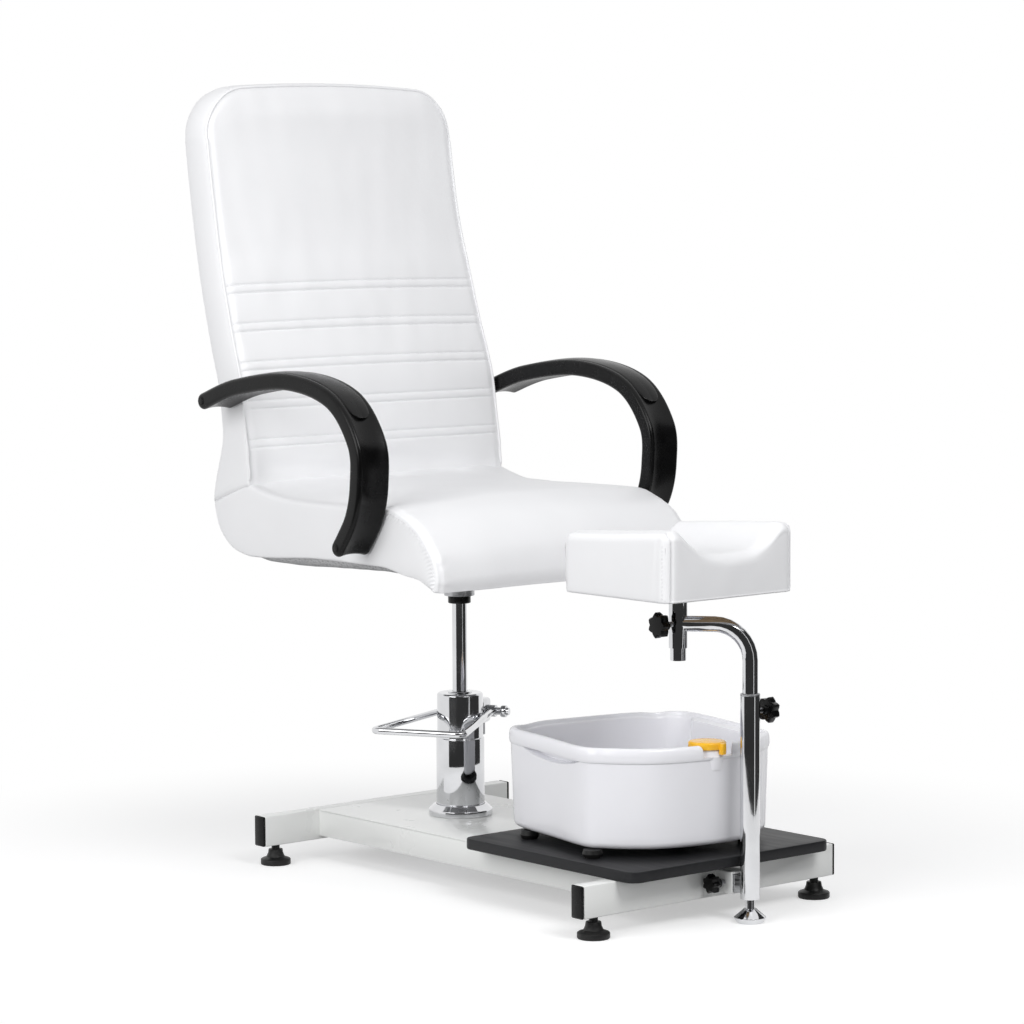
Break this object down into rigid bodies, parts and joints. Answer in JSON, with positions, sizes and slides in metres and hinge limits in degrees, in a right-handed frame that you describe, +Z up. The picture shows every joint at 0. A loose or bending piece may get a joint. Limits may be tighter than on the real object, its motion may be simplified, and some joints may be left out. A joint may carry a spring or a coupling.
{
  "type": "hydraulic pedicure chair",
  "caption": "Padded pedicure chair on a foot-pumped hydraulic lift, with a welded base, looped armrests, a foot bath on a tray board and a calf rest on a sliding, swinging column.",
  "frame": {"origin": "on the floor, under the middle of the whole chair's outline", "axes": "+Z up, the sitter faces -Y, -X is the sitter's right"},
  "size_m": [0.646, 1.0574, 1.2353],
  "materials": {
    "white_paint": "satin",
    "black_plastic": "satin",
    "black_rubber": "matte",
    "chrome": "polished",
    "bare_steel": "satin",
    "charcoal_board": "satin",
    "plywood": "matte",
    "white_leatherette": "satin",
    "grey_cloth": "matte",
    "white_plastic": "gloss",
    "orange_plastic": "gloss"
  },
  "bodies": {
    "base": {"rear_crossbar": "white_paint", "front_crossbar": "white_paint", "end_cap_rear_right": "black_plastic", "end_cap_rear_left": "black_plastic", "end_cap_front_right": "black_plastic", "end_cap_front_left": "black_plastic", "side_rail_right": "white_paint", "side_rail_left": "white_paint", "deck_plate": "white_paint", "pump_bolster": "bare_steel", "tray_board": "charcoal_board", "footrest_socket": "white_paint", "pump_flange": "chrome", "pump_casing": "chrome", "pressure_cylinder": "bare_steel", "rod_guide_bush": "chrome", "pedal_block": "chrome"},
    "lift": {"piston_rod": "chrome", "piston_head": "bare_steel"},
    "seat": {"seat_collar": "black_plastic", "swivel_hub": "bare_steel", "seat_plate": "bare_steel", "seat_shell": "plywood", "seat_cushion": "white_leatherette", "back_cushion": "white_leatherette", "back_cover": "white_leatherette", "dust_cover": "grey_cloth", "armrest_right": "black_plastic", "armrest_left": "black_plastic", "arm_bolt_right_back": "bare_steel", "arm_bolt_right_seat": "bare_steel", "arm_bolt_left_back": "bare_steel", "arm_bolt_left_seat": "bare_steel"},
    "pedal": {"pedal_shaft": "chrome", "shaft_nut": "chrome", "pedal_loop": "chrome"},
    "plunger": {"pump_plunger": "bare_steel"},
    "slide": {"slide_bar": "bare_steel", "footrest_column": "chrome"},
    "column_foot": {"column_foot": "chrome"},
    "column_bush": {"column_bush": "bare_steel"},
    "gooseneck": {"gooseneck": "chrome"},
    "pad": {"pad_post": "chrome", "pad_board": "plywood", "pad_cushion": "white_leatherette"},
    "column_knob": {"column_knob": "black_plastic"},
    "sleeve_knob": {"sleeve_knob": "black_plastic"},
    "slide_knob": {"slide_knob": "black_plastic"},
    "bath": {"bath_tub": "white_plastic", "tub_foot_rear_right": "black_rubber", "tub_foot_rear_left": "black_rubber", "tub_foot_front_right": "black_rubber", "tub_foot_front_left": "black_rubber"},
    "dial": {"control_dial": "orange_plastic"},
    "foot_rear_right": {"levelling_foot_rear_right": "black_rubber"},
    "foot_rear_left": {"levelling_foot_rear_left": "black_rubber"},
    "foot_front_right": {"levelling_foot_front_right": "black_rubber"},
    "foot_front_left": {"levelling_foot_front_left": "black_rubber"}
  },
  "joints": [
    {"name": "seat_lift", "type": "slide", "parent": "base", "child": "lift", "axis": [0, 0, 1], "range_m": [-0.13, 0]},
    {"name": "seat_swivel", "type": "hinge", "parent": "lift", "child": "seat", "pos_m": [0, 0.1404, 0.45], "axis": [0, 0, 1], "continuous": true},
    {"name": "pump_pedal", "type": "hinge", "parent": "base", "child": "pedal", "pos_m": [0.04225, 0.16421, 0.2392], "axis": [0.4909, -0.8712, 0], "range_deg": [0, 22], "stiffness_Nm_per_rad": 2, "springref_deg": -34.38},
    {"name": "plunger_stroke", "type": "slide", "parent": "base", "child": "plunger", "axis": [0, 0, -1], "range_m": [0, 0.006]},
    {"name": "bar_slide", "type": "slide", "parent": "base", "child": "slide", "axis": [0, -1, 0], "range_m": [0, 0.1]},
    {"name": "column_foot_turn", "type": "hinge", "parent": "slide", "child": "column_foot", "pos_m": [0.022, -0.4941, 0.01], "axis": [0, 0, 1], "continuous": true},
    {"name": "gooseneck_swing", "type": "hinge", "parent": "slide", "child": "column_bush", "pos_m": [0.022, -0.4941, 0.33], "axis": [0, 0, 1], "continuous": true},
    {"name": "gooseneck_height", "type": "slide", "parent": "column_bush", "child": "gooseneck", "axis": [0, 0, 1], "range_m": [-0.045, 0.045]},
    {"name": "pad_swivel", "type": "hinge", "parent": "gooseneck", "child": "pad", "pos_m": [-0.04549, -0.41367, 0.45], "axis": [0, 0, 1], "continuous": true},
    {"name": "column_knob_turn", "type": "hinge", "parent": "slide", "child": "column_knob", "pos_m": [0.022, -0.4941, 0.309], "axis": [1, 0, 0], "continuous": true},
    {"name": "sleeve_knob_turn", "type": "hinge", "parent": "gooseneck", "child": "sleeve_knob", "pos_m": [-0.04549, -0.41367, 0.4367], "axis": [-1, 0, 0], "continuous": true},
    {"name": "slide_knob_turn", "type": "hinge", "parent": "base", "child": "slide_knob", "pos_m": [0.022, -0.4551, 0.056], "axis": [-1, 0, 0], "continuous": true},
    {"name": "bath_lift_out", "type": "slide", "parent": "base", "child": "bath", "axis": [0, 0, 1], "range_m": [0, 0.1]},
    {"name": "dial_turn", "type": "hinge", "parent": "bath", "child": "dial", "pos_m": [0.00572, -0.42074, 0.2503], "axis": [0, 0, 1], "range_deg": [-30, 30]},
    {"name": "foot_turn_rear_right", "type": "hinge", "parent": "base", "child": "foot_rear_right", "pos_m": [-0.222, 0.3334, 0.01], "axis": [0, 0, 1], "continuous": true},
    {"name": "foot_turn_rear_left", "type": "hinge", "parent": "base", "child": "foot_rear_left", "pos_m": [0.222, 0.3334, 0.01], "axis": [0, 0, 1], "continuous": true},
    {"name": "foot_turn_front_right", "type": "hinge", "parent": "base", "child": "foot_front_right", "pos_m": [-0.222, -0.4256, 0.01], "axis": [0, 0, 1], "continuous": true},
    {"name": "foot_turn_front_left", "type": "hinge", "parent": "base", "child": "foot_front_left", "pos_m": [0.222, -0.4256, 0.01], "axis": [0, 0, 1], "continuous": true}
  ],
  "couplings": [
    {"joint": "plunger_stroke", "follows": "pump_pedal", "m_per_rad": 0.013}
  ]
}
